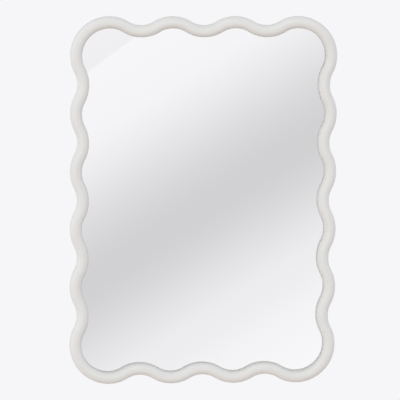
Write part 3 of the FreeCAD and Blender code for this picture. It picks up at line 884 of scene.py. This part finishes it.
def join_geometry(tree, *parts):
    node = tree.nodes.new("GeometryNodeJoinGeometry")
    for part in parts:
        tree.links.new(part, node.inputs[0])
    return node.outputs[0]


button_tree, size, end = new_tree("turn_button", {**BUTTON_INPUTS, "X": 0, "Z": 0, "Turn": 0})
tree = button_tree
half = times(tree, size["Width"], 0.5)
bar = rectangle(tree, size["Width"], total(tree, size["Reach"], half))
bar = rounded(tree, bar, times(tree, half, NEARLY_WHOLE), 16)
middle = times(tree, minus(tree, size["Reach"], half), 0.5)
bar = moved(tree, bar, join(tree, 0, middle, 0))
hole = add(tree, "GeometryNodeCurvePrimitiveCircle", {"Resolution": 32, "Radius": size["Hole"]})
face = add(tree, "GeometryNodeFillCurve", {0: join_geometry(tree, bar, hole)})
values = {0: face, "Offset": join(tree, 0, 0, size["Thickness"]), "Individual": False}
top = add(tree, "GeometryNodeExtrudeMesh", values)
plate = join_geometry(tree, top, add(tree, "GeometryNodeFlipFaces", {0: face}))
plate = smoothed(tree, merged(tree, plate))
spot = join(tree, size["X"], size["Height"], size["Z"])
plate = moved(tree, plate, spot, join(tree, radians(-90), size["Turn"], 0))
finish_tree(tree, plate, size, end)
print("button tree:", len(tree.nodes), "nodes")

# %% The eight buttons
TURN_OF_SIDE = {"top": 0, "right": 90, "bottom": 180, "left": 270}
BUTTON_EASE = 0.25 * MM

pivots = {joint["child"]: joint["pos_m"] for joint in frame["joints"]}
for body, pivot in pivots.items():
    kind, _, spot = body.partition("_")
    if kind != "button":
        continue
    turn = radians(TURN_OF_SIDE[spot.split("_")[0]])
    inputs = {**BUTTON_INPUTS, "X": pivot[0], "Z": pivot[2], "Turn": turn, "Material": zinc_steel}
    button = run_tree(f"button_{spot}", button_tree, inputs, edge=BUTTON_EASE)
    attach(button, body)
    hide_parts(f"turn_button_{spot}")

# %% [markdown]
# ## Screws
# Twelve screws hold buttons and hangers: pan heads with a cross recess. A screw is turned on a
# lathe, so nodes turn its outline about an axis, cut the cross, and set one at each place. No two
# hands stop a screw at the same angle, so each one is turned by chance, from a fixed seed.

# %% Lathe
def lathe(tree, outline, segments):
    """Turn an outline of (radius, height) points about Z; it runs from the top down."""
    columns = segments + 1
    grid = add(tree, "GeometryNodeMeshGrid", {"Vertices X": len(outline), "Vertices Y": columns})
    index = add(tree, "GeometryNodeInputIndex")
    row = calc(tree, "FLOOR", calc(tree, "DIVIDE", total(tree, index, 0.5), columns))
    column = minus(tree, index, times(tree, row, columns))
    angle = times(tree, column, tau / segments)
    spots = [join(tree, radius, 0, height) for radius, height in outline]
    radius, _, height = split(tree, choose(tree, "VECTOR", spots, row))
    x = times(tree, radius, calc(tree, "COSINE", angle))
    y = times(tree, radius, calc(tree, "SINE", angle))
    values = {0: grid, "Position": join(tree, x, y, height)}
    return merged(tree, add(tree, "GeometryNodeSetPosition", values))


def round_corner(tree, radius, height, bend, steps=6):
    """Points of an outline that rounds off the outer corner at that radius and height."""
    points = []
    for step in range(steps + 1):
        angle = radians(90 * step / steps)
        across = calc(tree, "MULTIPLY_ADD", bend, sin(angle) - 1, radius)
        points.append((across, calc(tree, "MULTIPLY_ADD", bend, cos(angle) - 1, height)))
    return points


print("lathe ready")

# %% Screw tree
SCREW_INPUTS = {
    "Tip": 3 * MM,
    "Ease": 0.15 * MM,
    "Recess Width": 0.9 * MM,
    "Recess Depth": 0.9 * MM,
}
BUTTON_SCREW = {"Shank": 1.75, "Head": 3.5, "Height": 2.2, "Length": 15.7}
HANGER_SCREW = {"Shank": 1.6, "Head": 3.0, "Height": 1.8, "Length": 15.6}

screw_tree, size, end = new_tree("pan_head_screw", {**BUTTON_SCREW, **SCREW_INPUTS, "Seed": 0})
tree = screw_tree
shank, head, height, length = (size[title] for title in BUTTON_SCREW)
outline = [
    (0, height),
    (times(tree, head, 0.45), times(tree, height, 0.985)),
    *round_corner(tree, head, times(tree, height, 0.96), times(tree, height, 0.62)),
    (head, size["Ease"]),
    (minus(tree, head, size["Ease"]), 0),
    (shank, 0),
    (shank, minus(tree, size["Tip"], length)),
    (0, times(tree, length, -1)),
]
screw = lathe(tree, outline, 40)
recess = (times(tree, head, 1.1), size["Recess Width"], times(tree, size["Recess Depth"], 2))
for turn in (0, 90):
    arm = add(tree, "GeometryNodeMeshCube", {"Size": join(tree, *recess)})
    arm = moved(tree, arm, join(tree, 0, 0, height), (0, 0, radians(turn)))
    values = {"Mesh 1": screw, "Mesh 2": arm}
    settings = {"operation": "DIFFERENCE", "solver": "EXACT"}
    screw = add(tree, "GeometryNodeMeshBoolean", values, **settings)
values = {2: 0.0, 3: tau, "Seed": size["Seed"]}
chance = add(tree, "FunctionNodeRandomValue", values, pick=1, data_type="FLOAT")
screw = smoothed(tree, merged(tree, screw), 40)
turn = join(tree, radians(-90), chance, 0)
finish_tree(tree, repeated(tree, size["Geometry"], screw, turn), size, end)
print("screw tree:", len(tree.nodes), "nodes")

# %% The twelve screws
BUTTON_HEAD_Y, HANGER_HEAD_Y = -2.8 * MM, -2.9 * MM
HANGER_DROPS = (8.5 * MM, 21 * MM)

button_pivots = [pivot for body, pivot in pivots.items() if body.startswith("button")]
ring_pivots = [pivot for body, pivot in pivots.items() if body.endswith("ring")]
button_spots = [(x, BUTTON_HEAD_Y, z) for x, _, z in button_pivots]
hanger_spots = [(x, HANGER_HEAD_Y, z - drop) for x, _, z in ring_pivots for drop in HANGER_DROPS]
for name, sizes, spots, node, seed in (
    ("button_screws_turned", BUTTON_SCREW, button_spots, "turn_button_screws", 7),
    ("hanger_screws_turned", HANGER_SCREW, hanger_spots, "hanger_screws", 8),
):
    inputs = {title: number * MM for title, number in sizes.items()}
    inputs = {**inputs, **SCREW_INPUTS, "Seed": seed, "Material": zinc_steel}
    screws = run_tree(name, screw_tree, inputs, spots)
    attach(screws, "mirror")
    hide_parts(node)

# %% [markdown]
# ## Hanger straps
# A strap of thin steel is folded round the bar of a wire ring, which swings in its eye. The packed
# solid has the fold already, so the strap is a copy of it with eased edges: the copy is merged into
# one skin, and its flat regions are joined so that the Bevel meets clean edges.

# %% Straps
import bmesh

SAME_CORNER = 0.002 * MM
FLAT_ANGLE = radians(0.5)
STRAP_EASE = 0.12 * MM


def eased_copy(name, node, width):
    """A copy of a solid in one skin, flat regions joined and edges eased."""
    skin = bmesh.new()
    skin.from_mesh(frame["nodes"][node].data)
    bmesh.ops.remove_doubles(skin, verts=skin.verts, dist=SAME_CORNER)
    bmesh.ops.dissolve_limit(skin, angle_limit=FLAT_ANGLE, verts=skin.verts, edges=skin.edges)
    mesh = bpy.data.meshes.new(name)
    skin.to_mesh(mesh)
    skin.free()
    piece = put(name, mesh)
    ease_edges(piece, width)
    make_plain(piece)
    piece.data.shade_smooth()
    piece.data.set_sharp_from_angle(angle=SHARP_EDGE)
    piece.data.materials.clear()
    return piece


for hand in ("left", "right"):
    strap = eased_copy(f"{hand}_strap", f"{hand}_hanger_strap", STRAP_EASE)
    strap.data.materials.append(zinc_steel)
    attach(strap, "mirror")
    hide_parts(f"{hand}_hanger_strap")

# %% [markdown]
# ## Hanger rings
# Each ring is a D bent from wire, whose straight bar lies in the strap's eye and whose bow leans
# on the frame. A torus has no straight bar, so nodes bend a rectangle's corners, two of them so
# far that they meet in the bow, and sweep a circle along it.

# %% Rings
RING_REACH, RING_LEAN = 13.6 * MM, 0.55 * MM
RING_INPUTS = {
    "Half Width": 8.1 * MM,
    "Reach": RING_REACH,
    "Bend": 2.5 * MM,
    "Wire": 1.1 * MM,
    "Step": 0.6 * MM,
    "Lean": asin(RING_LEAN / RING_REACH),
}

tree, size, end = new_tree("hanger_ring", {**RING_INPUTS, "X": 0, "Y": 0, "Z": 0})
wire = rectangle(tree, times(tree, size["Half Width"], 2), size["Reach"])
bow = times(tree, size["Half Width"], NEARLY_WHOLE)
radii = choose(tree, "FLOAT", [bow, bow, size["Bend"], size["Bend"]])
wire = rounded(tree, wire, radii, choose(tree, "INT", [20, 20, 10, 10]))
middle = times(tree, size["Reach"], 0.5)
wire = even_steps(tree, moved(tree, wire, join(tree, 0, middle, 0)), size["Step"])
circle = add(tree, "GeometryNodeCurvePrimitiveCircle", {"Resolution": 20, "Radius": size["Wire"]})
ring = add(tree, "GeometryNodeCurveToMesh", {0: wire, "Profile Curve": circle})
ring = add(tree, "GeometryNodeSetShadeSmooth", {0: ring, "Shade Smooth": True})
turn = join(tree, total(tree, size["Lean"], radians(90)), 0, 0)
ring = moved(tree, ring, join(tree, size["X"], size["Y"], size["Z"]), turn)
finish_tree(tree, ring, size, end)
for hand in ("left", "right"):
    pivot = dict(zip("XYZ", pivots[f"{hand}_ring"]))
    inputs = {**RING_INPUTS, **pivot, "Material": zinc_steel}
    ring = run_tree(f"{hand}_wire_ring", tree, inputs)
    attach(ring, f"{hand}_ring")
    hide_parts(f"{hand}_hanger_ring")

# %% [markdown]
# ## Rubber
# Four pads keep the frame off the wall, and small blocks centre the glass in its rabbet. Moulded
# rubber is nearly black, matt, and a little grey where dust sits in its pores. The pads are round
# and dished, so the lathe makes them too; the hidden blocks are kept as they are.

# %% Rubber
RUBBER_BLACK, RUBBER_DUSTY = srgb(30, 30, 31), srgb(66, 65, 63)

black_rubber, tree, shader = new_material("black_rubber", {"Specular IOR Level": 0.3})
pores = noise(tree, place(tree), scale=900.0, detail=3.0)
dusty = noise(tree, place(tree), scale=70.0)
tone = rescale(tree, times(tree, pores, dusty), 0.1, 0.5)
tree.links.new(mix_colour(tree, tone, RUBBER_BLACK, RUBBER_DUSTY), shader["Base Color"])
tree.links.new(rescale(tree, pores, 0.2, 0.8, 0.62, 0.85), shader["Roughness"])
tree.links.new(bump(tree, pores, 0.05 * MM), shader["Normal"])
dress(black_rubber, "glass_spacers")

# %% Pads
PAD_INPUTS = {
    "Radius": 6 * MM,
    "Height": WALL_GAP,
    "Dish": 0.3 * MM,
    "Round": 0.8 * MM,
    "Ease": 0.2 * MM,
}
PAD_X, PAD_Z = STILE_CREST - CORNER_RADIUS, RAIL_CREST + 2 * MM

tree, size, end = new_tree("wall_pad", PAD_INPUTS)
radius, height = size["Radius"], size["Height"]
dish = minus(tree, height, size["Dish"])
outline = [
    (0, dish),
    (times(tree, radius, 0.6), dish),
    (times(tree, radius, 0.68), height),
    *round_corner(tree, radius, height, size["Round"]),
    (radius, size["Ease"]),
    (minus(tree, radius, size["Ease"]), 0),
    (0, 0),
]
pad = smoothed(tree, lathe(tree, outline, 48), 50)
pad = repeated(tree, size["Geometry"], pad, (radians(-90), 0, 0))
finish_tree(tree, pad, size, end)
pad_spots = [(x * PAD_X, -WALL_GAP, z * PAD_Z) for x in (-1, 1) for z in (-1, 1)]
pads = run_tree("dished_pads", tree, {**PAD_INPUTS, "Material": black_rubber}, pad_spots)
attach(pads, "mirror")
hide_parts("wall_pads")

# %% [markdown]
# ## Foam tape
# Four strips of white foam tape hold the board off the filmed glass. Foam is full of small cells
# and its cut sides bulge when it is squeezed. A box would have flat sides, so nodes sweep a
# rounded section along each strip, and Voronoi cells give the pores as dimples, with painted
# shade that darkens each one towards its middle.

# %% Foam
# The pore colour is painted shade for the dimples; the other colour is the foam's own white.
FOAM_PORE_SHADE, FOAM_WHITE = srgb(205, 205, 200), srgb(238, 238, 234)

foam, tree, shader = new_material("foam", {"Roughness": 0.9})
cells = add(tree, "ShaderNodeTexVoronoi", {"Vector": place(tree), "Scale": 1300}, pick="Distance")
# Painted shade: grey towards each cell's middle, where the dimple is deepest.
white = mix_colour(tree, rescale(tree, cells, 0.1, 0.7), FOAM_PORE_SHADE, FOAM_WHITE)
tree.links.new(white, shader["Base Color"])
tree.links.new(bump(tree, cells, 0.2 * MM), shader["Normal"])
print(foam.name, len(tree.nodes), "nodes")

# %% Tape
FOAM_WIDTH = 25 * MM
foam_low, foam_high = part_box("foam_strips")
FOAM_INPUTS = {
    "Half Length": foam_high.x,
    "Width": FOAM_WIDTH,
    "Thickness": foam_high.y - foam_low.y,
    "Bulge": 0.7 * MM,
}
FOAM_Y = (foam_low.y + foam_high.y) / 2
FOAM_TOP = foam_high.z - FOAM_WIDTH / 2

tree, size, end = new_tree("foam_tape", FOAM_INPUTS)
ends = [join(tree, times(tree, size["Half Length"], sign), 0, 0) for sign in (-1, 1)]
run = add(tree, "GeometryNodeCurvePrimitiveLine", {"Start": ends[0], "End": ends[1]})
cut = rounded(tree, rectangle(tree, size["Thickness"], size["Width"]), size["Bulge"], 5)
strip = add(tree, "GeometryNodeCurveToMesh", {0: run, "Profile Curve": cut, "Fill Caps": True})
strip = repeated(tree, size["Geometry"], smoothed(tree, strip))
finish_tree(tree, strip, size, end)
strip_spots = [(0, FOAM_Y, FOAM_TOP * share) for share in (-1, -1 / 3, 1 / 3, 1)]
tape = run_tree("foam_tape", tree, {**FOAM_INPUTS, "Material": foam}, strip_spots)
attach(tape, "mirror")
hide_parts("foam_strips")

# %% [markdown]
# ## Dowels
# Two beech dowels cross each mitre inside the frame and keep it from opening. They are hidden and
# round already, so their solids are kept, and stretched noise gives beech its short flecks.

# %% Dowels
BEECH_PALE, BEECH_FLECK = srgb(214, 182, 142), srgb(186, 148, 108)

bare_wood, tree, shader = new_material("bare_wood", {"Roughness": 0.6})
flecks = noise(tree, stretch(tree, place(tree), (900, 900, 120)))
beech = mix_colour(tree, rescale(tree, flecks, 0.35, 0.7), BEECH_PALE, BEECH_FLECK)
tree.links.new(beech, shader["Base Color"])
tree.links.new(bump(tree, flecks, 0.05 * MM), shader["Normal"])
dress(bare_wood, "corner_dowels")
